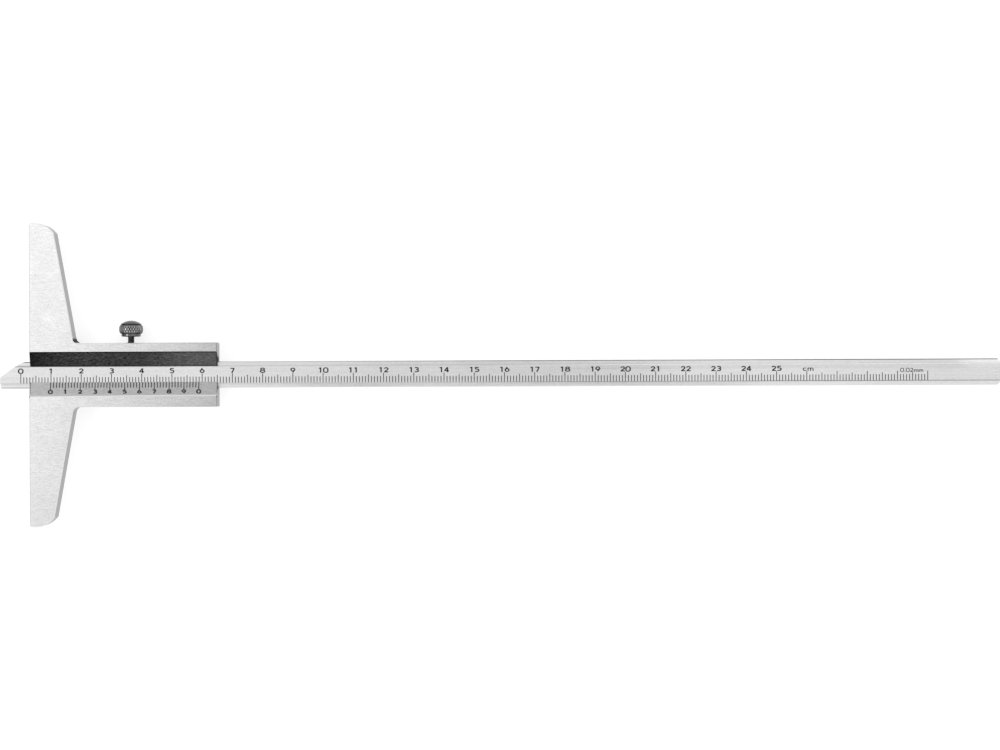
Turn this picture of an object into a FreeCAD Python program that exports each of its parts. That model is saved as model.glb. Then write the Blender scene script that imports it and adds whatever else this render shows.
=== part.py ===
import FreeCAD, Part
import math
import os

# Vernier depth gauge, in millimetres.
# Origin: the middle of the measuring face, on the rod's centreline and at half the plate's thickness.
# +X runs along the rod towards its plain end, +Y points at the lock screw,
# and +Z comes out of the graduated front.

# Frame: bridge and slider body, milled from one steel plate
PLATE_THICKNESS = 8.0
BRIDGE_LENGTH = 100.6        # from wing tip to wing tip, along Y
WING_END_FLAT = 1.8          # straight part of the wing's end, beside the measuring face
WING_TIP_RADIUS = 7.9        # round that follows it
WING_TIP_SWEEP = 54.0        # degrees of that round, up to a corner with the slanted edge
WING_TIP_CORNER = 0.8        # radius that softens this corner
WING_ROOT_WIDTH = 14.7       # along X, where the wing meets the slider body
FACE_CORNER_RADIUS = 0.6     # between the measuring face and the wing's end
WING_ROOT_RADIUS = 1.9
BODY_LENGTH = 62.0           # along X, from the measuring face
BODY_WIDTH = 21.2
EDGE_CHAMFER = 0.25          # breaks the plate's front and back edges

# Slot: a T-shaped channel right through the frame, open to the front as a window
FACE_DEPTH = 1.4             # of the rod's graduated face, below the frame's front
RELIEF = 0.45                # square grooves in the corners of the wall that locates the rod

# Bevels on both sides of the window
BEVEL_OUTER_EDGE = 7.55      # upper bevel, distance from the rod's centreline
BEVEL_DEPTH = 1.6            # of its inner edge, below the front
VERNIER_OUTER_EDGE = 7.1     # lower bevel, which carries the vernier scale
VERNIER_STEP_WIDTH = 0.75    # narrow steeper step at its outer edge
VERNIER_STEP_DEPTH = 0.35
NOSE_THICKNESS = 0.2         # the vernier's thin inner edge
NOSE_OVERLAP = 0.45          # how far that edge lies over the rod's graduated face
BEVEL_END_BREAK = 0.25       # chamfer on both ends of the upper bevel
VERNIER_END_BREAK = 0.15     # chamfer on both ends of the vernier bevel

# Rod: stepped bar with a raised graduated face
ROD_LENGTH = 331.1
ROD_WIDTH = 8.7
ROD_FLANGE = 2.3             # thickness of the wide part
FACE_WIDTH = 5.7
FACE_HEIGHT = 1.45           # of the raised face above the shoulders
ROD_EDGE_BREAK = 0.25
FACE_EDGE_BREAK = 0.15
TIP_WIDTH = 3.6              # of the narrow measuring end
TIP_ANGLE = 35.7             # slant of the tip to the rod, degrees
TIP_RADIUS = 5.0             # where the slant runs into the upper edge
TIP_CORNER = 0.3             # cut off both corners of the measuring end
END_CHAMFER = 0.9            # on the rod's plain end
REST_READING = 9.94          # how far the rod stands out of the measuring face

# Lock screw, with its thread shown as a plain cylinder
SCREW_FROM_FACE = 33.15      # its axis, from the measuring face
THREAD_DIAMETER = 2.5
THREAD_PITCH = 0.45
LOOSENING_TURNS = 1.5        # from set on the spring to fully loose
THREAD_INSET = 0.2           # from the slot's upper wall to the start of the thread
THREAD_LEAD = 0.25           # cone that runs up to the thread
THREAD_STANDS_OUT = 0.3      # thread above the body before the neck starts
THREAD_RUN_OUT = 0.15        # cone from the thread down to the neck
PLAIN_END_DIAMETER = 1.9     # unthreaded end that stands in the slot
NECK_DIAMETER = 2.0
NECK_LENGTH = 1.75
COLLAR_DIAMETER = 6.5
COLLAR_HEIGHT = 1.0
COLLAR_BREAK = 0.25          # chamfer on its lower edge
HEAD_DIAMETER = 8.0          # at the fullest part of the barrel
HEAD_RIM_DIAMETER = 6.7      # at both ends of the barrel
BARREL_HEIGHT = 3.35
DOME_HEIGHT = 1.0
POINT_DIAMETER = 1.0         # short pilot that locates the leaf spring
POINT_LENGTH = 0.28
MOUTH_CHAMFER = 0.3          # on the threaded hole's mouth

# Leaf spring between the lock screw and the rod
LEAF_INSET = 5.2             # from its end to the nearer end of the slot
LEAF_THICKNESS = 0.35
LEAF_RISE = 0.35             # of its bow, from the ends to the middle
LEAF_CORNER = 0.6

# Clearances
RUNNING = 0.05               # rod in its slot, each side
FACE_SIDE = 0.08             # raised face to the lips beside it
LEAF_SIDE = 0.15             # spring to the slot's floor, and to the lip in front of it
THREAD_FIT = 0.04            # screw to threaded hole, on the radius
SEAT = 0.02                  # spring on the rod, screw on the spring
POINT_FIT = 0.1              # pilot in the spring's hole, on the radius

# Levels and lines that follow from the values above
FRONT = PLATE_THICKNESS / 2
BACK = -FRONT
ROD_FACE = FRONT - FACE_DEPTH
SHOULDER = ROD_FACE - FACE_HEIGHT
ROD_BACK = SHOULDER - ROD_FLANGE
SLOT_FLOOR = ROD_BACK - RUNNING
LIP_UNDERSIDE = SHOULDER + RUNNING
NOSE_UNDERSIDE = ROD_FACE + RUNNING
NOSE_TOP = NOSE_UNDERSIDE + NOSE_THICKNESS
SLOT_MIDDLE = (SLOT_FLOOR + LIP_UNDERSIDE) / 2
ROD_EDGE = ROD_WIDTH / 2
FACE_EDGE = FACE_WIDTH / 2
LIP_EDGE = FACE_EDGE + FACE_SIDE
BODY_EDGE = BODY_WIDTH / 2
ROD_TIP = -REST_READING
LEAF_SEAT = ROD_EDGE + SEAT
LEAF_CROWN = LEAF_SEAT + LEAF_RISE + LEAF_THICKNESS
LEAF_HALF_LENGTH = min(SCREW_FROM_FACE, BODY_LENGTH - SCREW_FROM_FACE) - LEAF_INSET
SCREW_SHOULDER = LEAF_CROWN + SEAT
SLOT_LOWER_WALL = -(ROD_EDGE + RUNNING)
SLOT_UPPER_WALL = LEAF_CROWN + LOOSENING_TURNS * THREAD_PITCH + RUNNING
OVERRUN = 2.0                # how far a cutting tool runs past the surface that it cuts
EXACT = 1e-4                 # two places this near to each other are the same place


def vector(x, y, z):
    return FreeCAD.Vector(x, y, z)


def prism_along_x(section, x_low, x_high):
    """A closed (y, z) outline drawn out along X."""
    corners = [vector(x_low, y, z) for y, z in section]
    face = Part.Face(Part.makePolygon(corners + corners[:1]))
    return face.extrude(vector(x_high - x_low, 0, 0))


def prism_along_z(outline, z_low, z_high):
    """A closed (x, y) outline drawn out along Z."""
    corners = [vector(x, y, z_low) for x, y in outline]
    face = Part.Face(Part.makePolygon(corners + corners[:1]))
    return face.extrude(vector(0, 0, z_high - z_low))


def upright_edges_at(solid, places):
    """The edges parallel to Z that stand at the given (x, y) places."""
    found = []
    for edge in solid.Edges:
        box = edge.BoundBox
        if box.XLength > EXACT or box.YLength > EXACT:
            continue
        if any(math.hypot(box.XMin - x, box.YMin - y) < EXACT for x, y in places):
            found.append(edge)
    return found


def edges_in_plane(solid, level, axis):
    """The edges that lie wholly in the plane where the given axis equals level."""
    low, high = axis + "Min", axis + "Max"
    return [
        edge
        for edge in solid.Edges
        if abs(getattr(edge.BoundBox, low) - level) < EXACT
        and abs(getattr(edge.BoundBox, high) - level) < EXACT
    ]


def plate():
    """The frame's outline: two tapering wings on a rectangular slider body, all one thickness."""
    tip = BRIDGE_LENGTH / 2

    def on_round(degrees):
        turn = math.radians(degrees)
        drop = WING_TIP_RADIUS * (1 - math.cos(turn))
        return WING_END_FLAT + WING_TIP_RADIUS * math.sin(turn), tip - drop

    corner = on_round(WING_TIP_SWEEP)
    face_end, round_start, root = (0, tip), (WING_END_FLAT, tip), (WING_ROOT_WIDTH, BODY_EDGE)
    outline = [
        Part.makeLine(vector(0, -tip, BACK), vector(0, tip, BACK)),
        Part.makeLine(vector(BODY_LENGTH, -BODY_EDGE, BACK), vector(BODY_LENGTH, BODY_EDGE, BACK)),
    ]
    for side in (1, -1):
        places = (face_end, round_start, on_round(WING_TIP_SWEEP / 2), corner, root, (BODY_LENGTH, BODY_EDGE))
        end, start, half_way, stop, inner, outer = [vector(x, side * y, BACK) for x, y in places]
        outline.append(Part.makeLine(end, start))
        outline.append(Part.Arc(start, half_way, stop).toShape())
        outline.append(Part.makeLine(stop, inner))
        outline.append(Part.makeLine(inner, outer))
    face = Part.Face(Part.Wire(Part.__sortEdges__(outline)))
    solid = face.extrude(vector(0, 0, PLATE_THICKNESS))
    rounds = [(FACE_CORNER_RADIUS, *face_end), (WING_TIP_CORNER, *corner), (WING_ROOT_RADIUS, *root)]
    for radius, x, y in rounds:
        solid = solid.makeFillet(radius, upright_edges_at(solid, [(x, y), (x, -y)]))
    rim = edges_in_plane(solid, FRONT, "Z") + edges_in_plane(solid, BACK, "Z")
    return solid.makeChamfer(EDGE_CHAMFER, rim)


def slot_section():
    """The (y, z) outline of everything that is milled through the plate along X."""
    relief_wall = SLOT_LOWER_WALL - RELIEF
    nose_edge = -FACE_EDGE + NOSE_OVERLAP
    return [
        (BEVEL_OUTER_EDGE, FRONT + OVERRUN),
        (BEVEL_OUTER_EDGE, FRONT),
        (LIP_EDGE, FRONT - BEVEL_DEPTH),
        (LIP_EDGE, LIP_UNDERSIDE),
        (SLOT_UPPER_WALL, LIP_UNDERSIDE),
        (SLOT_UPPER_WALL, SLOT_FLOOR),
        (relief_wall, SLOT_FLOOR),
        (relief_wall, SLOT_FLOOR + RELIEF),
        (SLOT_LOWER_WALL, SLOT_FLOOR + RELIEF),
        (SLOT_LOWER_WALL, LIP_UNDERSIDE - RELIEF),
        (relief_wall, LIP_UNDERSIDE - RELIEF),
        (relief_wall, LIP_UNDERSIDE),
        (-LIP_EDGE, LIP_UNDERSIDE),
        (-LIP_EDGE, NOSE_UNDERSIDE),
        (nose_edge, NOSE_UNDERSIDE),
        (nose_edge, NOSE_TOP),
        (-VERNIER_OUTER_EDGE + VERNIER_STEP_WIDTH, FRONT - VERNIER_STEP_DEPTH),
        (-VERNIER_OUTER_EDGE, FRONT),
        (-VERNIER_OUTER_EDGE, FRONT + OVERRUN),
    ]


def threaded_hole():
    """The lock screw's hole, from the spring space out through the body's upper side."""
    radius = THREAD_DIAMETER / 2 + THREAD_FIT
    start = vector(SCREW_FROM_FACE, SLOT_UPPER_WALL, SLOT_MIDDLE)
    up = vector(0, 1, 0)
    hole = Part.makeCylinder(radius, BODY_EDGE + OVERRUN - SLOT_UPPER_WALL, start, up)
    mouth = vector(SCREW_FROM_FACE, BODY_EDGE - MOUTH_CHAMFER, SLOT_MIDDLE)
    flare = Part.makeCone(radius, radius + MOUTH_CHAMFER, MOUTH_CHAMFER, mouth, up)
    return hole.fuse(flare)


def frame():
    slot = prism_along_x(slot_section(), -OVERRUN, BODY_LENGTH + OVERRUN)
    solid = plate().cut(slot).cut(threaded_hole())
    breaks = [
        (BEVEL_END_BREAK, LIP_EDGE, FRONT - BEVEL_DEPTH),
        (VERNIER_END_BREAK, -VERNIER_OUTER_EDGE + VERNIER_STEP_WIDTH, NOSE_TOP),
    ]
    for size, low_y, low_z in breaks:
        ends = [
            edge
            for level in (0, BODY_LENGTH)
            for edge in edges_in_plane(solid, level, "X")
            if abs(edge.BoundBox.YMin - low_y) < EXACT and abs(edge.BoundBox.ZMin - low_z) < EXACT
        ]
        solid = solid.makeChamfer(size, ends)
    return solid


def rod_section():
    """The rod's stepped (y, z) outline, with its long edges broken."""
    half = [
        (ROD_EDGE - ROD_EDGE_BREAK, ROD_BACK),
        (ROD_EDGE, ROD_BACK + ROD_EDGE_BREAK),
        (ROD_EDGE, SHOULDER - ROD_EDGE_BREAK),
        (ROD_EDGE - ROD_EDGE_BREAK, SHOULDER),
        (FACE_EDGE, SHOULDER),
        (FACE_EDGE, ROD_FACE - FACE_EDGE_BREAK),
        (FACE_EDGE - FACE_EDGE_BREAK, ROD_FACE),
    ]
    return half + [(-y, z) for y, z in reversed(half)]


def rod_outline():
    """The rod seen from the front: a slanted measuring tip and a plain end with cut corners."""
    slant = (ROD_WIDTH - TIP_WIDTH) / math.tan(math.radians(TIP_ANGLE))
    end = ROD_TIP + ROD_LENGTH
    outline = [
        (ROD_TIP + TIP_CORNER, -ROD_EDGE),
        (ROD_TIP, -ROD_EDGE + TIP_CORNER),
        (ROD_TIP, -ROD_EDGE + TIP_WIDTH - TIP_CORNER),
        (ROD_TIP + TIP_CORNER / math.tan(math.radians(TIP_ANGLE)), -ROD_EDGE + TIP_WIDTH + TIP_CORNER),
        (ROD_TIP + slant, ROD_EDGE),
        (end - END_CHAMFER, ROD_EDGE),
        (end, ROD_EDGE - END_CHAMFER),
        (end, -ROD_EDGE + END_CHAMFER),
        (end - END_CHAMFER, -ROD_EDGE),
    ]
    solid = prism_along_z(outline, ROD_BACK - OVERRUN, ROD_FACE + OVERRUN)
    corner = upright_edges_at(solid, [(ROD_TIP + slant, ROD_EDGE)])
    return solid.makeFillet(TIP_RADIUS, corner)


def graduated_rod():
    bar = prism_along_x(rod_section(), ROD_TIP, ROD_TIP + ROD_LENGTH)
    return bar.common(rod_outline())


def leaf_spring():
    """A bowed strip whose ends rest on the rod and whose middle takes the screw's point."""
    back = SLOT_FLOOR + LEAF_SIDE
    width = LIP_UNDERSIDE - LEAF_SIDE - back

    def bow(height):
        """The two ends of one bowed face, at the given height over the seat, and its arc."""
        level = LEAF_SEAT + height
        left = vector(SCREW_FROM_FACE - LEAF_HALF_LENGTH, level, back)
        right = vector(SCREW_FROM_FACE + LEAF_HALF_LENGTH, level, back)
        crown = vector(SCREW_FROM_FACE, level + LEAF_RISE, back)
        return left, right, Part.Arc(left, crown, right).toShape()

    under_left, under_right, under = bow(0)
    over_left, over_right, over = bow(LEAF_THICKNESS)
    left_end = Part.makeLine(under_left, over_left)
    right_end = Part.makeLine(under_right, over_right)
    side = Part.Face(Part.Wire(Part.__sortEdges__([under, right_end, over, left_end])))
    strip = side.extrude(vector(0, 0, width))
    corners = [
        edge
        for edge in strip.Edges
        if edge.BoundBox.YLength > LEAF_THICKNESS / 2
        and edge.BoundBox.XLength < EXACT
        and edge.BoundBox.ZLength < EXACT
    ]
    strip = strip.makeFillet(LEAF_CORNER, corners)
    start = vector(SCREW_FROM_FACE, LEAF_SEAT, SLOT_MIDDLE)
    hole = Part.makeCylinder(POINT_DIAMETER / 2 + POINT_FIT, OVERRUN, start, vector(0, 1, 0))
    return strip.cut(hole)


def lock_screw():
    """One turned piece: pilot, plain end, thread, neck, collar and a barrel-shaped domed head."""
    point = POINT_DIAMETER / 2
    plain = PLAIN_END_DIAMETER / 2
    thread = THREAD_DIAMETER / 2
    neck = NECK_DIAMETER / 2
    collar = COLLAR_DIAMETER / 2
    rim = HEAD_RIM_DIAMETER / 2
    barrel = HEAD_DIAMETER / 2
    thread_start = SLOT_UPPER_WALL + THREAD_INSET
    neck_start = BODY_EDGE + THREAD_STANDS_OUT
    collar_start = neck_start + NECK_LENGTH
    head_start = collar_start + COLLAR_HEIGHT
    dome_start = head_start + BARREL_HEIGHT
    top = dome_start + DOME_HEIGHT

    def at(radius, y):
        return vector(SCREW_FROM_FACE + radius, y, SLOT_MIDDLE)

    steps = [
        (0, SCREW_SHOULDER - POINT_LENGTH),
        (point, SCREW_SHOULDER - POINT_LENGTH),
        (point, SCREW_SHOULDER),
        (plain, SCREW_SHOULDER),
        (plain, thread_start),
        (thread, thread_start + THREAD_LEAD),
        (thread, neck_start - THREAD_RUN_OUT),
        (neck, neck_start),
        (neck, collar_start),
        (collar - COLLAR_BREAK, collar_start),
        (collar, collar_start + COLLAR_BREAK),
        (collar, head_start),
        (rim, head_start),
    ]
    turned = [Part.makeLine(at(*a), at(*b)) for a, b in zip(steps, steps[1:])]
    barrel_middle = at(barrel, head_start + BARREL_HEIGHT / 2)
    turned.append(Part.Arc(at(rim, head_start), barrel_middle, at(rim, dome_start)).toShape())
    # the dome is a part of a ball through the barrel's rim and the crown on the axis
    ball = (rim**2 + DOME_HEIGHT**2) / (2 * DOME_HEIGHT)
    half_angle = math.asin(rim / ball) / 2
    half_way = at(ball * math.sin(half_angle), top - ball * (1 - math.cos(half_angle)))
    turned.append(Part.Arc(at(rim, dome_start), half_way, at(0, top)).toShape())
    turned.append(Part.makeLine(at(0, top), at(*steps[0])))
    profile = Part.Face(Part.Wire(Part.__sortEdges__(turned)))
    return profile.revolve(at(0, 0), vector(0, 1, 0), 360)


def save(name, shape):
    shape = shape.removeSplitter()
    if len(shape.Solids) != 1 or not shape.isValid():
        raise ValueError(name + " is not one valid solid")
    shape.Solids[0].exportStep(os.path.join("parts", name + ".step"))
    box = shape.BoundBox
    print(f"{name}: {shape.Volume:.1f} mm3, {box.XLength:.2f} x {box.YLength:.2f} x {box.ZLength:.2f}")


os.makedirs("parts", exist_ok=True)
save("frame", frame())
save("graduated_rod", graduated_rod())
save("leaf_spring", leaf_spring())
save("lock_screw", lock_screw())
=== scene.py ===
import math

import bmesh
import bpy
from mathutils import Matrix, Vector


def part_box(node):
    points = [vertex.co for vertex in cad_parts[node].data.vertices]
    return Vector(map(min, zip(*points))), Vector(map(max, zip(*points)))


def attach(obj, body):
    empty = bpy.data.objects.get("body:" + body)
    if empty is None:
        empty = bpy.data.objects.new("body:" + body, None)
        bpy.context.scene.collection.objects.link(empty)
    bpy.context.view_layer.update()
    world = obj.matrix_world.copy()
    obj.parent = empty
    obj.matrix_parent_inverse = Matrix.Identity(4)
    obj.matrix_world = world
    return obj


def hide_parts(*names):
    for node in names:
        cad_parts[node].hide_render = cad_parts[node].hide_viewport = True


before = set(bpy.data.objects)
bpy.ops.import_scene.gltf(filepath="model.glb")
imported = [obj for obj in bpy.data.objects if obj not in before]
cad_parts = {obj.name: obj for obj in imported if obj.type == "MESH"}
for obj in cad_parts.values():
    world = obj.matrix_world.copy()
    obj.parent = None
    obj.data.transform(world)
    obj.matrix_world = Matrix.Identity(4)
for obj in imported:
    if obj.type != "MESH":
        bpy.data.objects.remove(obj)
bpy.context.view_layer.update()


# ---- Frame ----
# The bridge and slider body: one plate of steel, milled through for the rod. Its flats are belt-ground
# along the rod, the bevel above the window is painted dark, a painted reflection of dark surroundings, and
# the bevel that carries the vernier is blasted to an even matt grey. Painted light and shade tone its
# flats, chamfers and walls.
MM = 0.001
BODY_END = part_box("frame")[1].x
BRIDGE_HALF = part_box("frame")[1].y
UPPER_BEVEL_SLOPE = math.atan2(1.6, 4.62)        # its drop over its width
UPPER_BEVEL_EDGES = (2.93 * MM, 7.55 * MM)
PAINTED_DARK_RIM = 0.14 * MM    # how far the flat beside it carries a painted dark line
VERNIER_SLOPE = math.atan2(0.8, 3.95)
VERNIER_STEP_SLOPE = math.atan2(0.35, 0.75)
GRIND_LENGTH = 1.8 * MM      # of the belt's marks, along the rod
GRIND_WIDTH = 0.32 * MM
GRIND_DEPTH = 0.0016 * MM
SLANT = math.radians(48)     # of the marks that cross them
SCRATCH_BRIGHTENING = 0.16
SLOT_WALLS = (-4.9 * MM, 6.0 * MM)               # the lower and the upper one
SLOT_SHADE_REACH = (-1.65 * MM, 2.65 * MM)              # how far down and up they carry painted shade

# Spots, each with its two distances and its reach
SCRATCHED_SPOT = (7.0 * MM, 18.2 * MM, 4.5 * MM)                                 # x and y
# Painted shade spots: at the wing's root and round the slot's open end
SHADED_ROOT = (15.4 * MM, 11.6 * MM, 1.7 * MM)                                   # x and y
SHADED_SLOT_MOUTH = ((5.2 * MM, 1.2 * MM, 2.2 * MM), (-4.4 * MM, 1.9 * MM, 1.2 * MM))  # y and z

# Which way a face looks is told by the parts of its normal, each within this much of what is looked for
DIAGONAL = math.sqrt(0.5)    # the part of a 45-degree chamfer's normal that points up
SAME_FLAT = 0.01
SAME_SLOPE = 0.04
SAME_CHAMFER = 0.06
SAME_FACE = 0.1
STEEP = 0.9                  # at most this much of a steep face's normal points up
LENGTHWISE = 0.5             # at most this much of a long wall's normal points along the rod

# Tones, from 0 for black to 1 for white
# Painted shade: the upright sides and the body's end are toned darker than the flats; the measuring face is
# lapped brighter
SIDE_TONE = 0.345
MEASURING_TONE = 0.60        # of the measuring face and its edge
END_TONE = 0.31
# Painted shade inside the slot and on the flat beside the dark bevel
PAINTED_SHADE_TONE = 0.03
# Painted shade spots: dark, dull and not bare metal
SHADE_SPOT_TONE = 0.01
SHADE_SPOT_ROUGHNESS = 0.9

MIX_SHARE, MIX_LOW, MIX_HIGH = 0, 2, 3   # sockets of a mixing node, which has several of each name
NOISE_SPREAD = (0.3, 0.7)    # nearly all noise is between these
NOISE_ROUGHNESS = 0.6


def feed(tree, socket, value):
    """Gives a socket a plain value, or joins it to the output of another node."""
    if isinstance(value, bpy.types.NodeSocket):
        tree.links.new(value, socket)
    else:
        socket.default_value = value


def put(tree, kind, inputs, **settings):
    """A shader node with these settings; each input is a value or the output of another node."""
    made = tree.nodes.new(kind)
    for name, value in settings.items():
        setattr(made, name, value)
    for name, value in inputs.items():
        feed(tree, made.inputs[name], value)
    return made


def work_out(tree, operation, *values):
    """The result of one sum on values or outputs."""
    return put(tree, "ShaderNodeMath", dict(enumerate(values)), operation=operation).outputs[0]


def between(tree, share, low, high):
    """A value that goes from low at share 0 to high at share 1."""
    inputs = {MIX_SHARE: share, MIX_LOW: low, MIX_HIGH: high}
    return put(tree, "ShaderNodeMix", inputs, data_type="FLOAT").outputs[0]


def rise(tree, value, start, end, before=0.0, after=1.0):
    """One value up to start, another from end on, and a smooth way between."""
    limits = {"Value": value, "From Min": start, "From Max": end, "To Min": before, "To Max": after}
    return put(tree, "ShaderNodeMapRange", limits, interpolation_type="SMOOTHSTEP").outputs[0]


def slope(tree, value, start, end, before, after):
    """One value up to start, another from end on, and a straight way between."""
    limits = {"Value": value, "From Min": start, "From Max": end, "To Min": before, "To Max": after}
    return put(tree, "ShaderNodeMapRange", limits).outputs[0]


def near(tree, value, middle, reach):
    """1 where the value is within reach of middle, and 0 elsewhere."""
    return work_out(tree, "COMPARE", value, middle, reach)


def within(tree, value, low, high):
    """1 where the value is between low and high, and 0 elsewhere."""
    return near(tree, value, (low + high) / 2, (high - low) / 2)


def near_spot(tree, across, up, spot):
    """1 in the middle of a spot, and less and less as far as it reaches."""
    spot_across, spot_up, reach = spot
    off_across = work_out(tree, "SUBTRACT", across, spot_across)
    off_up = work_out(tree, "SUBTRACT", up, spot_up)
    distance = work_out(tree, "SQRT", work_out(tree, "MULTIPLY_ADD", off_across, off_across,
                                               work_out(tree, "MULTIPLY", off_up, off_up)))
    return rise(tree, distance, 0.0, reach, before=1.0, after=0.0)


def place_on(tree):
    """Where a point is on its piece, as x, y and z in metres."""
    where = put(tree, "ShaderNodeTexCoord", {}).outputs["Object"]
    return put(tree, "ShaderNodeSeparateXYZ", {"Vector": where}).outputs


def facing(tree):
    """Which way the surface faces, as x, y and z."""
    normal = put(tree, "ShaderNodeTexCoord", {}).outputs["Normal"]
    return put(tree, "ShaderNodeSeparateXYZ", {"Vector": normal}).outputs


def marks(tree, length, width, turn=0.0, shift=0.0, detail=3.0):
    """Marks that a tool leaves in a surface, from 0 to 1: noise drawn out to this length and width.

    Each shift gives another pattern.
    """
    where = put(tree, "ShaderNodeTexCoord", {}).outputs["Object"]
    turned = put(tree, "ShaderNodeMapping", {"Vector": where, "Rotation": (0, 0, turn)})
    drawn = put(tree, "ShaderNodeMapping", {"Vector": turned.outputs[0], "Location": (shift, 0, 0),
                                            "Scale": (1 / length, 1 / width, 1 / width)})
    noise = {"Vector": drawn.outputs[0], "Scale": 1.0, "Detail": detail, "Roughness": NOISE_ROUGHNESS}
    level = put(tree, "ShaderNodeTexNoise", noise).outputs[0]
    return slope(tree, level, *NOISE_SPREAD, before=0.0, after=1.0)


def relief(tree, height, depth):
    """A normal for heights from 0 to 1 that are this deep in metres."""
    return put(tree, "ShaderNodeBump", {"Strength": 1.0, "Distance": depth, "Height": height}).outputs[0]


def new_finish(name):
    """A material with its shader, ready for colour, roughness and relief."""
    finish = bpy.data.materials.new(name)
    finish.use_nodes = True
    tree = finish.node_tree
    tree.nodes.clear()
    shader = put(tree, "ShaderNodeBsdfPrincipled", {})
    put(tree, "ShaderNodeOutputMaterial", {"Surface": shader.outputs[0]})
    return finish, tree, shader


def set_finish(tree, shader, tone, roughness, normal, metallic=1.0):
    """Gives the shader its grey tone, its roughness and relief, and how much it is bare metal."""
    feed(tree, shader.inputs["Metallic"], metallic)
    feed(tree, shader.inputs["Base Color"], tone)
    feed(tree, shader.inputs["Roughness"], roughness)
    feed(tree, shader.inputs["Normal"], normal)


def clothe(piece, finish):
    """Puts a finish on a piece in place of any that it has."""
    if not piece.material_slots:
        piece.data.materials.append(finish)
    for held in piece.material_slots:
        held.link = "OBJECT"
        held.material = finish


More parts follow.
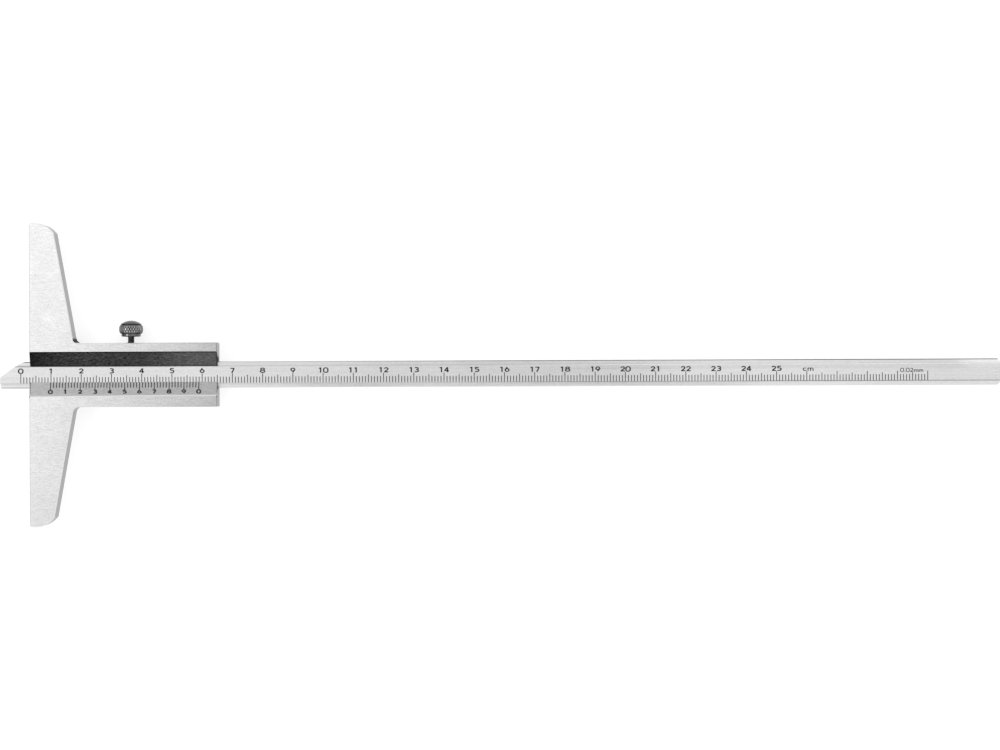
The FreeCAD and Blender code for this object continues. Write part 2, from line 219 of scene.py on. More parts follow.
def frame_finish():
    """Ground steel on the flats, with painted light: each bevel, chamfer and wall toned in its own way."""
    finish, tree, shader = new_finish("ground_plate_steel")
    x, y, z = place_on(tree)
    to_x, to_y, to_z = facing(tree)

    upper_bevel = work_out(tree, "MULTIPLY",
                           near(tree, to_y, -math.sin(UPPER_BEVEL_SLOPE), SAME_SLOPE),
                           near(tree, to_z, math.cos(UPPER_BEVEL_SLOPE), SAME_SLOPE))
    vernier_bevel = work_out(tree, "MULTIPLY",
                             near(tree, to_y, math.sin(VERNIER_SLOPE), SAME_SLOPE),
                             near(tree, to_z, math.cos(VERNIER_SLOPE), SAME_SLOPE))
    upright = near(tree, to_z, 0.0, SAME_FACE)
    chamfer = near(tree, to_z, DIAGONAL, SAME_CHAMFER)
    measuring_face = near(tree, to_x, -1.0, SAME_FACE)
    end_face = near(tree, to_x, 1.0, SAME_FACE)

    # Belt marks over the flats, slanting ones and a few stray scratches on the upper wing, and painted
    # light:
    # the flats darker towards the body's end and lighter towards the upper wing, a painted sheen near the
    # measuring face and painted shade near the body's end
    fine = marks(tree, length=GRIND_LENGTH, width=GRIND_WIDTH)
    slanting = marks(tree, length=2.2 * MM, width=0.45 * MM, turn=SLANT, shift=7.0)
    speck = marks(tree, length=0.6 * MM, width=0.4 * MM, shift=19.0)
    cloud = marks(tree, length=16 * MM, width=11 * MM, shift=3.0, detail=1.0)
    along = slope(tree, x, 0.0, BODY_END, before=0.82, after=0.54)
    across = slope(tree, y, -BRIDGE_HALF, BRIDGE_HALF, before=0.865, after=1.045)
    flat_tone = work_out(tree, "MULTIPLY", along, across)
    painted_sheen_and_shade = work_out(tree, "MULTIPLY", rise(tree, x, 3 * MM, 11 * MM, before=0.0, after=0.04),
                     rise(tree, y, -12 * MM, 12 * MM, before=0.4, after=1.0))
    painted_sheen_and_shade = work_out(tree, "ADD", painted_sheen_and_shade, rise(tree, x, 48 * MM, 60 * MM, before=0.0, after=-0.045))
    on_upper_wing = rise(tree, y, 9 * MM, 16 * MM)
    grain = work_out(tree, "MULTIPLY", on_upper_wing, between(tree, slanting, -0.03, 0.03))
    for streaks, strength in ((fine, 0.05), (speck, 0.09), (cloud, 0.015)):
        grain = work_out(tree, "ADD", grain, between(tree, streaks, -strength, strength))
    flat_tone = work_out(tree, "ADD", flat_tone, work_out(tree, "ADD", grain, painted_sheen_and_shade))
    scratch = rise(tree, marks(tree, length=3 * MM, width=0.26 * MM, turn=SLANT, shift=25.0), 0.55, 0.8)
    scratch = work_out(tree, "MULTIPLY", scratch, near_spot(tree, x, y, SCRATCHED_SPOT))
    flat_tone = work_out(tree, "MULTIPLY_ADD", scratch, SCRATCH_BRIGHTENING, flat_tone)
    # Painted shade: upright sides and the body's end darker than the flats; the lapped measuring face
    # brighter
    upright_tone = between(tree, measuring_face, SIDE_TONE, MEASURING_TONE)
    upright_tone = between(tree, end_face, upright_tone, END_TONE)
    upright_tone = work_out(tree, "ADD", upright_tone, between(tree, fine, -0.03, 0.03))
    tone = between(tree, upright, flat_tone, upright_tone)

    # Painted shade: the slot's own walls are darkened as the shade inside the slot, all but the cut ends
    shaded_slot = work_out(tree, "MULTIPLY", within(tree, y, *SLOT_WALLS), within(tree, z, *SLOT_SHADE_REACH))
    shaded_slot = work_out(tree, "MULTIPLY", shaded_slot, near(tree, to_x, 0.0, LENGTHWISE))
    tone = between(tree, shaded_slot, tone, PAINTED_SHADE_TONE)

    # Chamfers carry painted highlight and shade: bright along the wings, and darker and darker along the
    # body
    sideways = rise(tree, work_out(tree, "ABSOLUTE", to_y), 0.15, 0.6)
    chamfer_tone = between(tree, sideways, rise(tree, x, 20 * MM, BODY_END, before=0.95, after=0.38),
                           slope(tree, x, 16 * MM, BODY_END, before=0.90, after=0.44))
    measuring_edge = near(tree, to_x, -DIAGONAL, SAME_CHAMFER)
    chamfer_tone = between(tree, measuring_edge, chamfer_tone, MEASURING_TONE)
    tone = between(tree, chamfer, tone, chamfer_tone)

    # The narrow step outside the vernier: matt like the bevel, with a painted highlight along a margin that
    # widens along it, and painted shade towards the body's end
    step = near(tree, to_z, math.cos(VERNIER_STEP_SLOPE), SAME_FLAT)
    margin = slope(tree, x, 3 * MM, 47 * MM, before=-7.1 * MM, after=-6.68 * MM)
    step_tone = rise(tree, work_out(tree, "SUBTRACT", y, margin), 0.0, 0.12 * MM, before=0.82, after=0.51)
    step_tone = work_out(tree, "MULTIPLY", step_tone, rise(tree, x, 0.0, BODY_END, before=1.0, after=0.82))
    tone = between(tree, step, tone, step_tone)

    # The bevel above the window carries a painted reflection: dark, mottled along the rod, lighter towards
    # the body's end, darkest at its edges
    mottle = marks(tree, length=1.0 * MM, width=0.32 * MM, shift=11.0)
    dark = work_out(tree, "ADD", slope(tree, x, 0.0, 14 * MM, before=0.014, after=0.043),
                    rise(tree, x, 34 * MM, 56 * MM, before=0.0, after=0.052))
    mottled = work_out(tree, "MULTIPLY", between(tree, mottle, -1.0, 1.0),
                       slope(tree, x, 30 * MM, 56 * MM, before=1.0, after=0.5))
    dark = work_out(tree, "MULTIPLY_ADD", dark, mottled, dark)
    low_edge, high_edge = UPPER_BEVEL_EDGES
    from_edge = work_out(tree, "MINIMUM", work_out(tree, "SUBTRACT", y, low_edge),
                         work_out(tree, "SUBTRACT", high_edge, y))
    dark = work_out(tree, "MULTIPLY", dark, rise(tree, from_edge, 0.0, 0.5 * MM, before=0.4, after=1.0))
    tone = between(tree, upper_bevel, tone, dark)
    # A painted dark line on the flat along the bevel's high edge
    painted_dark_rim = work_out(tree, "MULTIPLY", near(tree, to_z, 1.0, SAME_FLAT),
                             near(tree, y, high_edge, PAINTED_DARK_RIM))
    tone = between(tree, painted_dark_rim, tone, PAINTED_SHADE_TONE)

    # The blasted bevel: grey, with a fine grain and faint streaks, a little darker towards the body's end
    # and with a painted dark line at the measuring face; the chamfers at both bevels' ends carry painted
    # shade
    blast = marks(tree, length=0.45 * MM, width=0.35 * MM, shift=5.0, detail=2.0)
    grey = slope(tree, x, 0.0, BODY_END, before=0.445, after=0.418)
    grey = work_out(tree, "MULTIPLY", grey, between(tree, blast, 0.87, 1.13))
    grey = work_out(tree, "MULTIPLY", grey, between(tree, fine, 0.87, 1.13))
    grey = work_out(tree, "MULTIPLY", grey, rise(tree, x, 0.15 * MM, 0.4 * MM, before=0.4, after=1.0))
    tone = between(tree, vernier_bevel, tone, grey)
    bevel_end = work_out(tree, "MULTIPLY", chamfer, near(tree, y, 0.0, high_edge))
    lower_end = slope(tree, x, 0.0, BODY_END, before=0.0, after=0.12)
    tone = between(tree, bevel_end, tone, rise(tree, y, 0.0, low_edge, before=lower_end, after=0.015))

    # Painted shade: dark, dull spots with no bare metal where wing meets body and round the slot's open end
    painted_shade_spots = work_out(tree, "MULTIPLY", near_spot(tree, x, y, SHADED_ROOT), near(tree, to_z, 0.0, STEEP))
    for spot in SHADED_SLOT_MOUTH:
        shaded_mouth = work_out(tree, "MULTIPLY", near_spot(tree, y, z, spot), end_face)
        painted_shade_spots = work_out(tree, "MAXIMUM", painted_shade_spots, shaded_mouth)
    painted_shade_spots = rise(tree, painted_shade_spots, 0.1, 0.6)
    tone = between(tree, painted_shade_spots, tone, SHADE_SPOT_TONE)

    roughness = between(tree, fine, 0.30, 0.42)
    roughness = between(tree, upper_bevel, roughness, between(tree, mottle, 0.25, 0.40))
    roughness = between(tree, vernier_bevel, roughness, between(tree, blast, 0.50, 0.62))
    roughness = between(tree, painted_shade_spots, roughness, SHADE_SPOT_ROUGHNESS)
    height = between(tree, vernier_bevel, fine, blast)
    set_finish(tree, shader, tone, roughness, relief(tree, height, GRIND_DEPTH),
               metallic=work_out(tree, "SUBTRACT", 1.0, painted_shade_spots))
    return finish


clothe(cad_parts["frame"], frame_finish())


# ---- Graduated rod ----
# The measuring rod: a stepped bar of hardened steel, surface-ground along its length on every face, with
# its edges broken by hand. Painted light tones it: lighter and darker along its length, painted shade on
# its upright sides, and painted highlight and shade on its broken edges.
ROD_LOW, ROD_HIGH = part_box("graduated_rod")
HONE_LENGTH = 22 * MM        # of the wheel's marks, along the rod
HONE_WIDTH = 0.10 * MM
HONE_DEPTH = 0.0010 * MM
ROD_END = ROD_HIGH.x / MM
FACE_SIDE = (2.8 * MM, 3.0 * MM)         # from the centreline, where raised face gives way to shoulder
FACE_TOP_STRIP = (1.25 * MM, 2.75 * MM)  # the raised face's part that is next to the upper shoulder
SIDE_SHADING = 0.74          # the upright sides' painted shade, as a share of the flats' tone
SIDE_ROUGHENING = 0.1

# Tones along the rod, painted light that makes it lighter and darker along its length: the one at its
# start, and then each change from one place to another, in millimetres
FLAT_TONE = (0.74, ((60, 165, -0.085), (170, 235, 0.11), (255, 285, -0.045)))
LOWER_SHOULDER_CHANGE = (0.0, ((80, 100, -0.09), (105, 135, 0.11), (165, 215, -0.08), (225, 250, 0.12)))
UPPER_SHOULDER_CHANGE = (0.0, ((ROD_END - 18, ROD_END - 7, 0.17),))
TOP_STRIP_CHANGE = (0.0, ((170, 195, -0.05), (ROD_END - 16, ROD_END - 7, 0.08)))
# The long edges' tones: painted highlight and shade, upper and lower ones toned apart
UPPER_OUTER_EDGE = (0.08, ((0, 40, 0.52), (55, 175, -0.40), (225, 270, -0.12)))
LOWER_OUTER_EDGE = (0.30, ((0, 30, 0.50),))
UPPER_INNER_EDGE = (0.0, ((-1.0, 1.5, 0.30), (0, 40, 0.30), (140, 195, 0.40)))
LOWER_INNER_EDGE = (0.62, ((120, 190, -0.37), (220, 250, -0.15)))


def tone_along(tree, distance, course):
    """A tone that starts at the course's first value and goes through each of its changes."""
    tone, changes = course
    for start, end, change in changes:
        so_far = rise(tree, distance, start * MM, end * MM, before=0.0, after=change)
        tone = work_out(tree, "ADD", tone, so_far)
    return tone


def rod_finish():
    """Finely ground steel, with painted light: each shoulder, upright side and long edge toned in its own
    way.
    """
    finish, tree, shader = new_finish("ground_rod_steel")
    x, y, _ = place_on(tree)
    _, to_y, to_z = facing(tree)
    fine = marks(tree, length=HONE_LENGTH, width=HONE_WIDTH, shift=2.0)
    spots = marks(tree, length=1.0 * MM, width=0.45 * MM, shift=17.0)
    band = marks(tree, length=60 * MM, width=0.9 * MM, shift=9.0, detail=1.0)
    cloud = marks(tree, length=30 * MM, width=30 * MM, shift=4.0, detail=1.0)
    tone = tone_along(tree, x, FLAT_TONE)
    on_lower_shoulder = rise(tree, work_out(tree, "MULTIPLY", y, -1.0), *FACE_SIDE)
    lower_change = tone_along(tree, x, LOWER_SHOULDER_CHANGE)
    tone = work_out(tree, "MULTIPLY_ADD", on_lower_shoulder, lower_change, tone)
    on_upper_shoulder = rise(tree, y, *FACE_SIDE)
    upper_change = tone_along(tree, x, UPPER_SHOULDER_CHANGE)
    tone = work_out(tree, "MULTIPLY_ADD", on_upper_shoulder, upper_change, tone)
    on_top_strip = within(tree, y, *FACE_TOP_STRIP)
    tone = work_out(tree, "MULTIPLY_ADD", on_top_strip, tone_along(tree, x, TOP_STRIP_CHANGE), tone)
    for streaks, strength in ((fine, 0.035), (spots, 0.045), (band, 0.02), (cloud, 0.02)):
        tone = work_out(tree, "ADD", tone, between(tree, streaks, -strength, strength))

    # The upright sides and ends are ground coarser, and carry painted shade
    upright = near(tree, to_z, 0.0, SAME_FACE)
    tone = between(tree, upright, tone, work_out(tree, "MULTIPLY", tone, SIDE_SHADING))

    # The long edges are stoned by hand; they carry painted highlight and shade, upper and lower ones toned
    # apart, never quite even along the rod, and mostly darker at the tip
    edge = near(tree, work_out(tree, "ABSOLUTE", to_z), DIAGONAL, SAME_FACE)
    upper = rise(tree, to_y, -0.1, 0.1)
    outer = rise(tree, work_out(tree, "ABSOLUTE", y), 3.2 * MM, 3.8 * MM)
    inner_tone = between(tree, upper, tone_along(tree, x, LOWER_INNER_EDGE),
                         tone_along(tree, x, UPPER_INNER_EDGE))
    outer_tone = between(tree, upper, tone_along(tree, x, LOWER_OUTER_EDGE),
                         tone_along(tree, x, UPPER_OUTER_EDGE))
    tone = between(tree, edge, tone, between(tree, outer, inner_tone, outer_tone))
    roughness = work_out(tree, "MULTIPLY_ADD", upright, SIDE_ROUGHENING, between(tree, fine, 0.24, 0.36))
    set_finish(tree, shader, tone, roughness, relief(tree, fine, HONE_DEPTH))
    return finish


clothe(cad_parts["graduated_rod"], rod_finish())


# ---- Rod graduations ----
# Millimetre lines and centimetre numerals, etched into the rod's raised face and filled with dark lacquer
# that stands a hundredth of a millimetre proud. The numerals are cut with one round-nosed tool.
CENTIMETRE = 10 * MM
FILL_HEIGHT = 0.01 * MM
FILL_GRAIN_DEPTH = 0.001 * MM
ROD_ZERO = ROD_LOW.x + 6.9 * MM
ROD_LAST_LINE = 300          # in millimetres
ROD_LAST_NUMBER = 25         # in centimetres
ROD_LINE_WIDTH = 0.26 * MM
ROD_LINE_FOOT = -2.70 * MM   # where every line starts, from the rod's centreline
ROD_LINE_LENGTHS = {10: 3.1 * MM, 5: 2.55 * MM, 1: 2.0 * MM}     # of every tenth, every fifth and the rest
NUMERAL_HEIGHT = 1.72 * MM
NUMERAL_FOOT = 0.50 * MM     # from the rod's centreline
NUMERAL_WIDENING = 1.35      # how much wider than the figures' own drawing
NUMERAL_SPACING = 0.135      # between two numerals, as a share of their height
CUT_WIDTH = 0.200            # of a stroke, as a share of the height
WORD_CUT_WIDTH = 0.15        # the same for the two words
UNIT = "cm"
UNIT_HEIGHT = 1.75 * MM
UNIT_WIDENING = 1.32
UNIT_PLACE = (260.5 * MM, 0.46 * MM)     # its middle from the zero line, and its foot
READING = "0.02mm"           # what one division of the vernier stands for
READING_HEIGHT = 1.42 * MM
READING_WIDENING = 1.20
READING_PLACE = (294.75 * MM, -0.05 * MM)
ARC_STEP = math.radians(15)
FULL_TURN = 360              # in degrees
SAME_POINT = 0.0001 * MM     # corners nearer to each other than this are one

# Each figure is cut as straight strokes and arcs in a box one unit high that stands on 0, and half is half
# its width. A line has its two ends. An arc has its centre, radius, first angle and sweep in degrees.
FIGURES = {
    "0": {"half": 0.33, "lines": [((-0.30, 0.34), (-0.30, 0.62)), ((0.30, 0.34), (0.30, 0.62))],
          "arcs": [((0, 0.62), 0.30, 0, 180), ((0, 0.34), 0.30, 180, 180)]},
    "1": {"half": 0.33, "lines": [((0.03, 0.0), (0.03, 1.0)), ((0.03, 0.93), (-0.21, 0.80))], "arcs": []},
    "2": {"half": 0.33, "lines": [((0.20, 0.54), (-0.23, 0.13)), ((-0.29, 0.10), (0.31, 0.10))],
          "arcs": [((0, 0.655), 0.24, -30, 200)]},
    "3": {"half": 0.33, "lines": [((-0.22, 0.90), (0.08, 0.90)), ((-0.05, 0.53), (0.08, 0.53)),
                                  ((-0.24, 0.10), (0.08, 0.10))],
          "arcs": [((0.08, 0.725), 0.17, -90, 180), ((0.08, 0.30), 0.195, -90, 180)]},
    "4": {"half": 0.33, "lines": [((0.10, 0.93), (-0.28, 0.33)), ((-0.33, 0.30), (0.33, 0.30)),
                                  ((0.12, 0.0), (0.12, 0.97))], "arcs": []},
    "5": {"half": 0.33, "lines": [((-0.20, 0.90), (0.26, 0.90)), ((-0.19, 0.93), (-0.19, 0.56)),
                                  ((-0.19, 0.57), (0.03, 0.57)), ((-0.26, 0.10), (0.03, 0.10))],
          "arcs": [((0.03, 0.335), 0.235, -90, 180)]},
    "6": {"half": 0.33, "lines": [((-0.25, 0.44), (0.03, 0.95))], "arcs": [((0, 0.37), 0.265, 0, 360)]},
    "7": {"half": 0.33, "lines": [((-0.29, 0.90), (0.29, 0.90)), ((0.25, 0.88), (-0.08, 0.0))], "arcs": []},
    "8": {"half": 0.33, "lines": [((-0.08, 0.90), (0.08, 0.90)), ((-0.10, 0.53), (0.10, 0.53)),
                                  ((-0.10, 0.10), (0.10, 0.10))],
          "arcs": [((0.08, 0.735), 0.165, -90, 180), ((-0.08, 0.735), 0.165, 90, 180),
                   ((0.10, 0.30), 0.195, -90, 180), ((-0.10, 0.30), 0.195, 90, 180)]},
    "9": {"half": 0.33, "lines": [((0.25, 0.56), (-0.03, 0.06))], "arcs": [((0, 0.63), 0.265, 0, 360)]},
    "c": {"half": 0.27, "lines": [], "arcs": [((0, 0.31), 0.25, 45, 270)]},
    "m": {"half": 0.42, "lines": [((-0.36, 0.0), (-0.36, 0.60)), ((0, 0.0), (0, 0.38)),
                                  ((0.36, 0.0), (0.36, 0.38))],
          "arcs": [((-0.18, 0.38), 0.18, 0, 180), ((0.18, 0.38), 0.18, 0, 180)]},
    ".": {"half": 0.10, "lines": [((0, 0.0), (0, 0.13))], "arcs": []},
}


def cut_line(bm, start, end, width):
    """A straight stroke, flat on its plane."""
    start, end = Vector(start), Vector(end)
    middle = ((start + end) / 2).to_3d()
    turn = (end - start).to_3d().to_track_quat("X", "Z").to_matrix().to_4x4()
    size = Matrix.Diagonal(((end - start).length, width, 1, 1))
    half_a_unit = 0.5
    bmesh.ops.create_grid(bm, x_segments=1, y_segments=1, size=half_a_unit,
                          matrix=Matrix.Translation(middle) @ turn @ size)


def cut_arc(bm, centre, radius, first, sweep, width):
    """A stroke round a centre, flat on its plane."""
    middle = Vector(centre).to_3d()
    out = Vector((math.cos(math.radians(first)), math.sin(math.radians(first)), 0))
    ends = [bm.verts.new(middle + out * (radius + side * width / 2)) for side in (-1, 1)]
    edge = bm.edges.new(ends)
    angle = math.radians(sweep)
    bmesh.ops.spin(bm, geom=ends + [edge], cent=middle, axis=(0, 0, 1), angle=angle,
                   steps=max(2, round(angle / ARC_STEP)), use_merge=sweep == FULL_TURN)


def cut_figure(figure, width, matrix):
    """The strokes of one figure, as a flat bmesh that the matrix has put in place."""
    bm = bmesh.new()
    for start, end in FIGURES[figure]["lines"]:
        cut_line(bm, start, end, width)
    for centre, radius, first, sweep in FIGURES[figure]["arcs"]:
        cut_arc(bm, centre, radius, first, sweep, width)
    bmesh.ops.transform(bm, matrix=matrix, verts=bm.verts)
    return bm


def add_to(bm, other):
    """Adds another bmesh to this one and frees it."""
    passing = bpy.data.meshes.new("passing")
    other.to_mesh(passing)
    other.free()
    bm.from_mesh(passing)
    bpy.data.meshes.remove(passing)


def cut_word(bm, word, height, middle, foot, stroke, widening):
    """A word of figures, centred on middle and standing on foot; stroke is a share of its height."""
    halves = [FIGURES[figure]["half"] * widening for figure in word]
    left = -sum(halves) - NUMERAL_SPACING * (len(word) - 1) / 2
    for figure, half in zip(word, halves):
        put_at = Matrix.Translation((middle + (left + half) * height, foot, 0))
        size = Matrix.Diagonal((height * widening, height, 1, 1))
        add_to(bm, cut_figure(figure, stroke, put_at @ size))
        left += 2 * half + NUMERAL_SPACING


def fill_cuts(bm):
    """Gives the flat cuts their filling: faces up, and the same shape again a filling's height above."""
    bmesh.ops.remove_doubles(bm, verts=bm.verts, dist=SAME_POINT)
    bmesh.ops.recalc_face_normals(bm, faces=bm.faces)
    for face in bm.faces:
        if face.normal.z < 0:
            face.normal_flip()
    raised = bmesh.ops.extrude_face_region(bm, geom=bm.faces[:])["geom"]
    tops = [part for part in raised if isinstance(part, bmesh.types.BMVert)]
    bmesh.ops.translate(bm, vec=(0, 0, FILL_HEIGHT), verts=tops)
    bmesh.ops.recalc_face_normals(bm, faces=bm.faces)


def new_object(name, bm):
    """An object with the shape of a bmesh, which is freed."""
    mesh = bpy.data.meshes.new(name)
    bm.to_mesh(mesh)
    bm.free()
    made = bpy.data.objects.new(name, mesh)
    bpy.context.scene.collection.objects.link(made)
    return made


def new_piece(name, bm, body):
    """A bmesh made a piece that rides on a body."""
    piece = new_object(name, bm)
    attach(piece, body)
    return piece


def filling_finish():
    """Dark lacquer, worn a little paler in places."""
    finish, tree, shader = new_finish("dark_filling")
    worn = marks(tree, length=1.5 * MM, width=0.5 * MM, shift=6.0)
    tone = rise(tree, worn, 0.35, 0.75, before=0.006, after=0.02)
    speck = marks(tree, length=0.05 * MM, width=0.05 * MM, shift=8.0)
    set_finish(tree, shader, tone, between(tree, speck, 0.40, 0.60),
               relief(tree, speck, FILL_GRAIN_DEPTH), metallic=0.0)
    return finish


def line_length(lengths, line):
    """How long a line is: the lengths are listed by how often they come, the rarest first."""
    return next(length for every, length in lengths.items() if line % every == 0)


def rod_graduations():
    """The filled lines and numerals of the millimetre scale, with its unit and the vernier's reading."""
    bm = bmesh.new()
    for line in range(ROD_LAST_LINE + 1):
        length = line_length(ROD_LINE_LENGTHS, line)
        x = ROD_ZERO + line * MM
        cut_line(bm, (x, ROD_LINE_FOOT), (x, ROD_LINE_FOOT + length), ROD_LINE_WIDTH)
    for number in range(ROD_LAST_NUMBER + 1):
        x = ROD_ZERO + number * CENTIMETRE
        cut_word(bm, str(number), NUMERAL_HEIGHT, x, NUMERAL_FOOT, CUT_WIDTH, NUMERAL_WIDENING)
    for word, height, widening, (middle, foot) in (
            (UNIT, UNIT_HEIGHT, UNIT_WIDENING, UNIT_PLACE),
            (READING, READING_HEIGHT, READING_WIDENING, READING_PLACE)):
        cut_word(bm, word, height, ROD_ZERO + middle, foot, WORD_CUT_WIDTH, widening)
    fill_cuts(bm)
    bmesh.ops.translate(bm, vec=(0, 0, ROD_HIGH.z), verts=bm.verts)
    return new_piece("rod_graduations", bm, "rod")


dark_filling = filling_finish()
clothe(rod_graduations(), dark_filling)


# ---- Vernier graduations ----
# Fifty divisions over forty-nine millimetres, etched and filled in the same way on the matt bevel. Every
# fifth line is longer and numbered, and the lines run out over the bevel's thin inner edge.
VERNIER_ZERO = 6.9 * MM      # from the measuring face
VERNIER_DIVISIONS = 50
VERNIER_PITCH = 0.98 * MM
VERNIER_LINE_WIDTH = 0.31 * MM
VERNIER_NUMBERED = 5         # each fifth line is longer and has a numeral
VERNIER_LINE_LENGTHS = {VERNIER_NUMBERED: 2.45 * MM, 1: 1.8 * MM}
VERNIER_LINE_START = 0.05 * MM           # from the bevel's inner edge
VERNIER_NUMERAL_HEIGHT = 1.30 * MM
VERNIER_NUMERAL_FOOT = 3.84 * MM         # from the bevel's inner edge
VERNIER_NUMERAL_WIDENING = 1.5
VERNIER_CUT_WIDTH = 0.29     # of a stroke, as a share of the numeral's height
NOSE_EDGE = Vector((0, -2.4 * MM, 2.85 * MM))    # the bevel's inner edge


def vernier_graduations():
    """The filled lines and numerals of the vernier, tilted on to its bevel."""
    bm = bmesh.new()
    for line in range(VERNIER_DIVISIONS + 1):
        length = line_length(VERNIER_LINE_LENGTHS, line)
        x = VERNIER_ZERO + line * VERNIER_PITCH
        cut_line(bm, (x, -VERNIER_LINE_START), (x, -VERNIER_LINE_START - length), VERNIER_LINE_WIDTH)
        if line % VERNIER_NUMBERED == 0:
            number = str(line // VERNIER_NUMBERED % 10)
            cut_word(bm, number, VERNIER_NUMERAL_HEIGHT, x, -VERNIER_NUMERAL_FOOT, VERNIER_CUT_WIDTH,
                     VERNIER_NUMERAL_WIDENING)
    fill_cuts(bm)
    tilt = Matrix.Rotation(-VERNIER_SLOPE, 4, "X")
    bmesh.ops.transform(bm, matrix=Matrix.Translation(NOSE_EDGE) @ tilt, verts=bm.verts)
    return new_piece("vernier_graduations", bm, "frame")


clothe(vernier_graduations(), dark_filling)


# ---- Leaf spring ----
# A strip of cold-rolled spring steel, cut and bowed, that lies loose between the rod and the lock screw.
# It keeps the dark rolled skin, with a bright rub where the screw's point touches it.
SCREW_X = 33.15 * MM         # the lock screw's axis, from the measuring face
RUBBED_REACH = (1.2 * MM, 2.4 * MM)      # from the axis, where the rub starts to fade and where it ends


def spring_finish():
    """Rolled steel, brighter under the screw."""
    finish, tree, shader = new_finish("rolled_spring_steel")
    x = place_on(tree)["X"]
    rolled = marks(tree, length=9 * MM, width=0.12 * MM, shift=1.0)
    scale = marks(tree, length=1.2 * MM, width=1.2 * MM, shift=12.0)
    tone = work_out(tree, "ADD", between(tree, rolled, 0.26, 0.36), between(tree, scale, -0.06, 0.06))
    from_screw = work_out(tree, "ABSOLUTE", work_out(tree, "SUBTRACT", x, SCREW_X))
    tone = work_out(tree, "ADD", tone, rise(tree, from_screw, *RUBBED_REACH, before=0.18, after=0.0))
    set_finish(tree, shader, tone, between(tree, scale, 0.28, 0.48), relief(tree, rolled, GRIND_DEPTH))
    return finish


clothe(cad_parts["leaf_spring"], spring_finish())


# ---- Lock screw ----
# One piece turned from steel bar: point, M2.5 thread, neck, collar and a barrel head with a rolled
# diamond knurl under a smooth dome. It is blackened, and the knurl's crests and the dome have worn bright.
SCREW_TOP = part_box("lock_screw")[1].y
KNURL_COLUMNS = 28           # round the head
KNURL_ROWS = 2
KNURL_DEPTH = 0.16 * MM
KNURL_GROOVE = 0.13 * MM     # half the width of a groove, at the crests
BARREL_FOOT, BARREL_TOP = 13.68 * MM, 16.54 * MM
KNURL_MIDDLE, KNURL_HALF = (BARREL_FOOT + BARREL_TOP) / 2, (BARREL_TOP - BARREL_FOOT) / 2
RIM_RADIUS = 3.46 * MM       # of the barrel's two ends, at the bottom of the knurl
BARREL_RADIUS = 3.83 * MM    # halfway, at the bottom of the knurl
DOME_FOOT = 16.84 * MM
DOME_RIM = 3.46 * MM
DOME_STEPS = 8
THREAD_PITCH = 0.45 * MM
THREAD_ROOT, THREAD_CREST = 0.96 * MM, 1.24 * MM
THREAD_START = 6.27 * MM
THREAD_TURNS = 9.5
THREAD_STEPS = 24            # for each turn
SHARP_CORNER = math.radians(30)          # between two faces; anything less looks round
COLLAR = (12.64 * MM, 13.56 * MM)
SCREW_GRAIN_DEPTH = 0.001 * MM

# Its outline, each corner as (distance along the screw, radius) in millimetres: the point, the core of the
# thread, the neck, the collar and the foot of the barrel; then the groove between barrel and dome
SHANK_OUTLINE = (
    (4.82, 0.0), (4.82, 0.42), (4.88, 0.49), (5.09, 0.5), (5.09, 0.86), (5.16, 0.93), (10.70, 0.98),
    (11.04, 1.02), (12.30, 1.02), (12.60, 1.10), (12.66, 2.95), (12.74, 3.12), (12.90, 3.23),
    (13.48, 3.24), (13.58, 3.14), (13.62, 3.20), (13.68, 3.46))
DOME_GROOVE = ((16.60, 3.36), (16.78, 3.33))

# Its tone from the neck up: brighter on the collar, black above it, brighter again on the dome
SCREW_TONE = (0.030, ((12.5, 12.7, 0.12), (13.50, 13.60, -0.135), (16.76, 16.86, 0.085)))
KNURL_BRIGHTENING = 0.12


def lathe_points(bm, outline):
    """The corners of an outline, each given as (distance along the screw, radius), joined in order."""
    corners = [bm.verts.new((SCREW_X + radius, y, 0)) for y, radius in outline]
    for pair in zip(corners, corners[1:]):
        bm.edges.new(pair)
    return corners


def turn_about(bm, geom, centre, axis, angle, steps, climb=0.0, closed=False):
    """Spins a shape about an axis, climbing along the screw by this much at each step."""
    bmesh.ops.spin(bm, geom=geom, cent=centre, axis=axis, dvec=(0, climb, 0), angle=angle, steps=steps,
                   use_merge=closed)


def barrel_radius(y):
    """The head's radius at the bottom of the knurl: fullest halfway up."""
    share = (y - KNURL_MIDDLE) / KNURL_HALF
    return BARREL_RADIUS - (BARREL_RADIUS - RIM_RADIUS) * share * share


def in_band(face):
    """Whether a face of the head belongs to the knurled band."""
    return BARREL_FOOT < face.calc_center_median().y < BARREL_TOP


def knurl(bm):
    """Presses a diamond knurl in the band of square faces: each edge between two becomes a diamond."""
    inside = [edge for edge in bm.edges if all(in_band(face) for face in edge.link_faces)]
    for middle in bmesh.ops.poke(bm, faces=[face for face in bm.faces if in_band(face)])["verts"]:
        out = Vector((middle.co.x - SCREW_X, 0, middle.co.z)).normalized()
        middle.co = Vector((SCREW_X, middle.co.y, 0)) + out * barrel_radius(middle.co.y)
    bmesh.ops.dissolve_edges(bm, edges=inside, use_verts=False)
    diamonds = [face for face in bm.faces if in_band(face) and len(face.verts) == 4]
    bmesh.ops.inset_individual(bm, faces=diamonds, thickness=KNURL_GROOVE, depth=KNURL_DEPTH,
                               use_even_offset=True)
    for diamond in diamonds:
        diamond.material_index = 1


def thread(bm):
    """A V-shaped ridge that climbs round the screw, closed at both ends."""
    foot, crest, top = lathe_points(bm, (
        (THREAD_START, THREAD_ROOT), (THREAD_START + THREAD_PITCH / 2, THREAD_CREST),
        (THREAD_START + THREAD_PITCH, THREAD_ROOT)))
    start = bm.faces.new((foot, crest, top))
    steps = round(THREAD_TURNS * THREAD_STEPS)
    turn_about(bm, [start], (SCREW_X, 0, 0), (0, 1, 0), THREAD_TURNS * math.tau, steps,
               THREAD_PITCH / THREAD_STEPS)


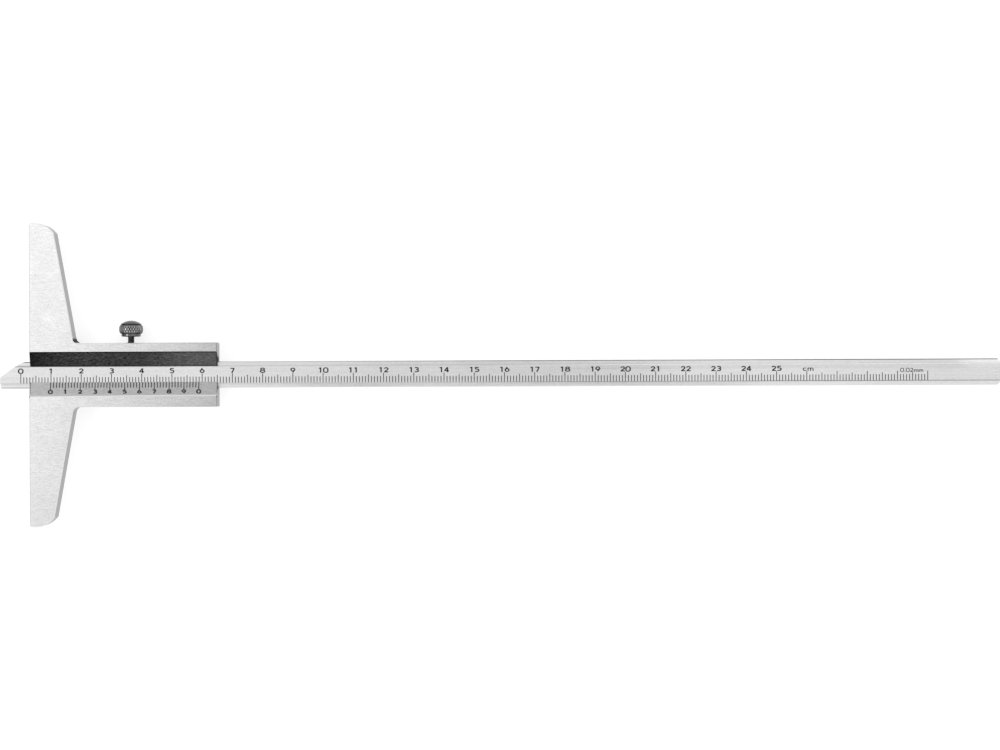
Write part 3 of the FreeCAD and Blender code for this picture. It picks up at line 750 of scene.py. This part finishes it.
def lock_screw():
    """The turned screw: outline and dome spun round, then knurled and threaded."""
    bm = bmesh.new()
    lathe_points(bm, [(y * MM, radius * MM) for y, radius in SHANK_OUTLINE])
    rows = range(KNURL_ROWS + 1)
    levels = [BARREL_FOOT + (BARREL_TOP - BARREL_FOOT) * row / KNURL_ROWS for row in rows]
    lathe_points(bm, [(level, barrel_radius(level)) for level in levels])
    groove = [(y * MM, radius * MM) for y, radius in DOME_GROOVE]
    lathe_points(bm, [(BARREL_TOP, RIM_RADIUS), *groove, (DOME_FOOT, DOME_RIM)])
    dome_height = SCREW_TOP - DOME_FOOT
    ball = (DOME_RIM ** 2 + dome_height ** 2) / (2 * dome_height)
    rim = bm.verts.new((SCREW_X + DOME_RIM, DOME_FOOT, 0))
    turn_about(bm, [rim], (SCREW_X, SCREW_TOP - ball, 0), (0, 0, 1), math.asin(DOME_RIM / ball), DOME_STEPS)
    turn_about(bm, bm.verts[:] + bm.edges[:], (SCREW_X, 0, 0), (0, 1, 0), math.tau, KNURL_COLUMNS,
               closed=True)
    bmesh.ops.remove_doubles(bm, verts=bm.verts, dist=SAME_POINT)
    bmesh.ops.recalc_face_normals(bm, faces=bm.faces)
    knurl(bm)
    thread(bm)
    bmesh.ops.recalc_face_normals(bm, faces=bm.faces)
    for face in bm.faces:
        face.smooth = True
    for edge in bm.edges:
        edge.smooth = edge.calc_face_angle() < SHARP_CORNER
    return bm


def screw_finish():
    """Blackened steel: black on the neck, glossy on the collar, rubbed grey on the dome."""
    finish, tree, shader = new_finish("blackened_screw_steel")
    y = place_on(tree)["Y"]
    grain = marks(tree, length=0.3 * MM, width=0.3 * MM, shift=13.0)
    in_knurl = within(tree, y, BARREL_FOOT, BARREL_TOP)
    tone = work_out(tree, "MULTIPLY_ADD", in_knurl, KNURL_BRIGHTENING, tone_along(tree, y, SCREW_TONE))
    tone = work_out(tree, "MULTIPLY", tone, between(tree, grain, 0.8, 1.2))
    on_collar = within(tree, y, *COLLAR)
    roughness = between(tree, on_collar, between(tree, grain, 0.24, 0.34), between(tree, grain, 0.07, 0.11))
    set_finish(tree, shader, tone, roughness, relief(tree, grain, SCREW_GRAIN_DEPTH))
    return finish


def crest_finish():
    """The knurl's crests, worn through to bare steel."""
    finish, tree, shader = new_finish("worn_knurl_crests")
    grain = marks(tree, length=0.5 * MM, width=0.5 * MM, shift=14.0)
    tone = between(tree, grain, 0.27, 0.50)
    set_finish(tree, shader, tone, between(tree, grain, 0.24, 0.36), relief(tree, grain, SCREW_GRAIN_DEPTH))
    return finish


screw = new_piece("lock_screw_turned", lock_screw(), "screw")
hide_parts("lock_screw")
screw.data.materials.append(screw_finish())
screw.data.materials.append(crest_finish())


# ---- Studio ----
# A pale floor under the gauge, an even overhead light that is a little dimmer straight above, one soft
# lamp on the left, and a camera that looks straight down on the graduated front.
FLOOR_HALF = 6.0             # half a side
FLOOR_SQUARES = 8            # along a side
FLOOR_MIDDLE = (0.15, 0, -4.02 * MM)     # just under the gauge's back
FLOOR_TONE = (0.36, 0.36, 0.36, 1)
FLOOR_GLOW = 0.75            # the light of its own that lifts it to white
WHITE = (1, 1, 1, 1)
LAMP_PLACE = (-0.66, 0.03, 0.82)
LAMP_AIM = (0.05, 0, 0)
LAMP_WIDTH, LAMP_DEPTH = 0.80, 0.16
LAMP_RADIANCE = 5.0
CAMERA_PLACE = (155.48 * MM, -0.51 * MM, 839 * MM)
CAMERA_TURN = math.radians(-0.22)
FOCAL_LENGTH = 91.03         # in millimetres
SENSOR_WIDTH = 36            # in millimetres


def studio_floor():
    """One flat square that isn't part of the gauge."""
    bm = bmesh.new()
    bmesh.ops.create_grid(bm, x_segments=FLOOR_SQUARES, y_segments=FLOOR_SQUARES, size=FLOOR_HALF,
                          matrix=Matrix.Translation(FLOOR_MIDDLE))
    floor = new_object("studio_floor", bm)
    return floor


def floor_finish():
    """Matt white paper that shows as white, and keeps the gauge's shadow."""
    finish, tree, shader = new_finish("white_paper")
    shader.inputs["Base Color"].default_value = FLOOR_TONE
    shader.inputs["Roughness"].default_value = 0.9
    shader.inputs["Specular IOR Level"].default_value = 0.0
    seen_by = put(tree, "ShaderNodeLightPath", {}).outputs
    seen = work_out(tree, "MAXIMUM", seen_by["Is Camera Ray"], seen_by["Is Glossy Ray"])
    seen = work_out(tree, "MAXIMUM", seen, seen_by["Is Transmission Ray"])
    shader.inputs["Emission Color"].default_value = WHITE
    feed(tree, shader.inputs["Emission Strength"], work_out(tree, "MULTIPLY", seen, FLOOR_GLOW))
    return finish


clothe(studio_floor(), floor_finish())


def studio_light():
    """Even light from all round, strongest overhead but for a dimmer patch straight above."""
    world = bpy.data.worlds.new("studio")
    bpy.context.scene.world = world
    world.use_nodes = True
    tree = world.node_tree
    tree.nodes.clear()
    towards = put(tree, "ShaderNodeTexCoord", {}).outputs["Generated"]
    up = put(tree, "ShaderNodeSeparateXYZ", {"Vector": towards}).outputs["Z"]
    overhead = rise(tree, up, 0.0, 0.7, before=0.62, after=1.05)
    dimmed = rise(tree, up, 0.955, 1.0, before=1.0, after=0.80)
    level = work_out(tree, "MULTIPLY", overhead, dimmed)
    backdrop = put(tree, "ShaderNodeBackground", {"Color": WHITE, "Strength": level})
    put(tree, "ShaderNodeOutputWorld", {"Surface": backdrop.outputs[0]})


def soft_lamp(name, place, aim, width, depth, radiance):
    """A softbox that faces aim; its power follows from its size and how bright its face is."""
    light = bpy.data.lights.new(name, "AREA")
    light.shape = "RECTANGLE"
    light.size, light.size_y = width, depth
    light.energy = radiance * math.pi * width * depth
    lamp = bpy.data.objects.new(name, light)
    bpy.context.scene.collection.objects.link(lamp)
    lamp.location = place
    lamp.rotation_euler = (Vector(aim) - Vector(place)).to_track_quat("-Z", "Y").to_euler()


studio_light()
soft_lamp("left_softbox", LAMP_PLACE, LAMP_AIM, LAMP_WIDTH, LAMP_DEPTH, LAMP_RADIANCE)

camera_data = bpy.data.cameras.new("camera")
camera_data.sensor_width = SENSOR_WIDTH
camera_data.lens = FOCAL_LENGTH
camera = bpy.data.objects.new("camera", camera_data)
bpy.context.scene.collection.objects.link(camera)
camera.location = CAMERA_PLACE
camera.rotation_euler = (0, 0, CAMERA_TURN)
bpy.context.scene.camera = camera
bpy.context.scene.view_settings.view_transform = "Standard"
